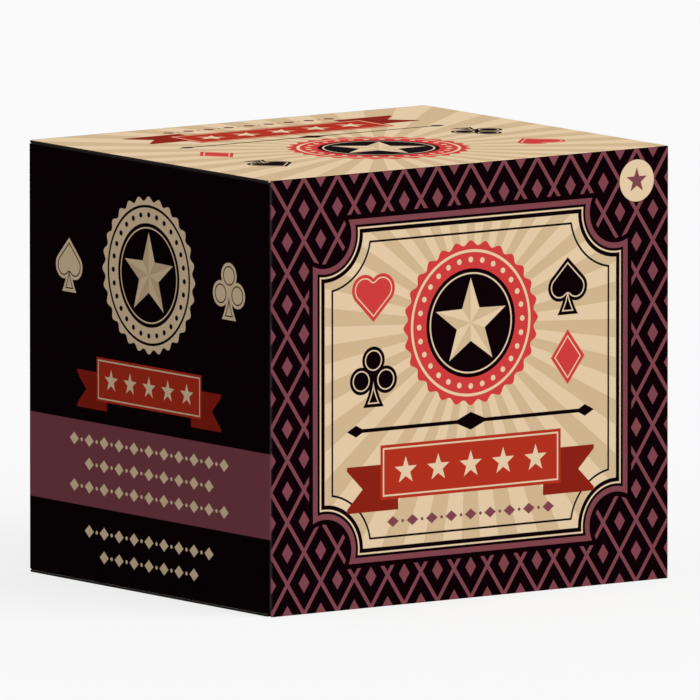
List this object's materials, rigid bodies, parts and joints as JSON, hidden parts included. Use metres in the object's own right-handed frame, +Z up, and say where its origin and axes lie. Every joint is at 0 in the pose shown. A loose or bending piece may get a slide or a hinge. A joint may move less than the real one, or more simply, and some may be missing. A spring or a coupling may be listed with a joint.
{
  "type": "magic trick box",
  "caption": "Closed printed folding carton with tuck flaps at both ends, holding a board insert, a leaflet and a square lidded plastic box with a sliding liner.",
  "frame": {"origin": "centre of the carton's footprint, on the surface that it stands on", "axes": "+X to the right of the printed front, +Y from the front to the back, +Z up"},
  "size_m": [0.115, 0.097, 0.102],
  "materials": {
    "printed_board": "satin",
    "insert_board": "matte",
    "leaflet_paper": "matte",
    "red_plastic": "satin"
  },
  "bodies": {
    "carton": {"front_panel": "printed_board", "back_panel": "printed_board", "left_side_panel": "printed_board", "right_side_panel": "printed_board", "glue_flap": "printed_board", "insert_deck": "insert_board", "insert_front_leg": "insert_board", "insert_back_leg": "insert_board", "insert_left_leg": "insert_board", "insert_right_leg": "insert_board", "instruction_leaflet": "leaflet_paper"},
    "top_lid": {"top_lid_panel": "printed_board"},
    "top_tuck": {"top_tuck_flap": "printed_board"},
    "top_left_dust": {"top_left_dust_flap": "printed_board"},
    "top_right_dust": {"top_right_dust_flap": "printed_board"},
    "bottom_lid": {"bottom_panel": "printed_board"},
    "bottom_tuck": {"bottom_tuck_flap": "printed_board"},
    "bottom_left_dust": {"bottom_left_dust_flap": "printed_board"},
    "bottom_right_dust": {"bottom_right_dust_flap": "printed_board"},
    "trick_body": {"trick_base": "red_plastic"},
    "trick_cap": {"trick_lid": "red_plastic", "lid_handle": "red_plastic"},
    "liner": {"trick_liner": "red_plastic"}
  },
  "joints": [
    {"name": "top_lid_hinge", "type": "hinge", "parent": "carton", "child": "top_lid", "pos_m": [0, 0.04825, 0.10175], "axis": [-1, 0, 0], "range_deg": [0, 180]},
    {"name": "top_tuck_fold", "type": "hinge", "parent": "top_lid", "child": "top_tuck", "pos_m": [0, -0.04701, 0.10175], "axis": [1, 0, 0], "range_deg": [0, 60]},
    {"name": "top_left_dust_fold", "type": "hinge", "parent": "carton", "child": "top_left_dust", "pos_m": [-0.05725, 0, 0.10115], "axis": [0, -1, 0], "range_deg": [0, 117]},
    {"name": "top_right_dust_fold", "type": "hinge", "parent": "carton", "child": "top_right_dust", "pos_m": [0.05725, 0, 0.10115], "axis": [0, 1, 0], "range_deg": [0, 117]},
    {"name": "bottom_lid_hinge", "type": "hinge", "parent": "carton", "child": "bottom_lid", "pos_m": [0, 0.04825, 0.00025], "axis": [1, 0, 0], "range_deg": [0, 180]},
    {"name": "bottom_tuck_fold", "type": "hinge", "parent": "bottom_lid", "child": "bottom_tuck", "pos_m": [0, -0.04701, 0.00025], "axis": [-1, 0, 0], "range_deg": [0, 60]},
    {"name": "bottom_left_dust_fold", "type": "hinge", "parent": "carton", "child": "bottom_left_dust", "pos_m": [-0.05725, 0, 0.00085], "axis": [0, 1, 0], "range_deg": [0, 117]},
    {"name": "bottom_right_dust_fold", "type": "hinge", "parent": "carton", "child": "bottom_right_dust", "pos_m": [0.05725, 0, 0.00085], "axis": [0, -1, 0], "range_deg": [0, 117]},
    {"name": "trick_lift", "type": "slide", "parent": "carton", "child": "trick_body", "axis": [0, 0, 1], "range_m": [0, 0.101]},
    {"name": "trick_lid_lift", "type": "slide", "parent": "trick_body", "child": "trick_cap", "axis": [0, 0, 1], "range_m": [0, 0.014]},
    {"name": "liner_transfer", "type": "slide", "parent": "trick_body", "child": "liner", "axis": [0, 0, 1], "range_m": [0, 0.028]}
  ],
  "couplings": [
    {"joint": "top_tuck_fold", "follows": "top_lid_hinge", "ratio": 0.33333},
    {"joint": "top_left_dust_fold", "follows": "top_lid_hinge", "ratio": 0.65},
    {"joint": "top_right_dust_fold", "follows": "top_lid_hinge", "ratio": 0.65},
    {"joint": "bottom_tuck_fold", "follows": "bottom_lid_hinge", "ratio": 0.33333},
    {"joint": "bottom_left_dust_fold", "follows": "bottom_lid_hinge", "ratio": 0.65},
    {"joint": "bottom_right_dust_fold", "follows": "bottom_lid_hinge", "ratio": 0.65},
    {"joint": "trick_lift", "follows": "top_lid_hinge", "m_per_rad": 0.031831}
  ]
}
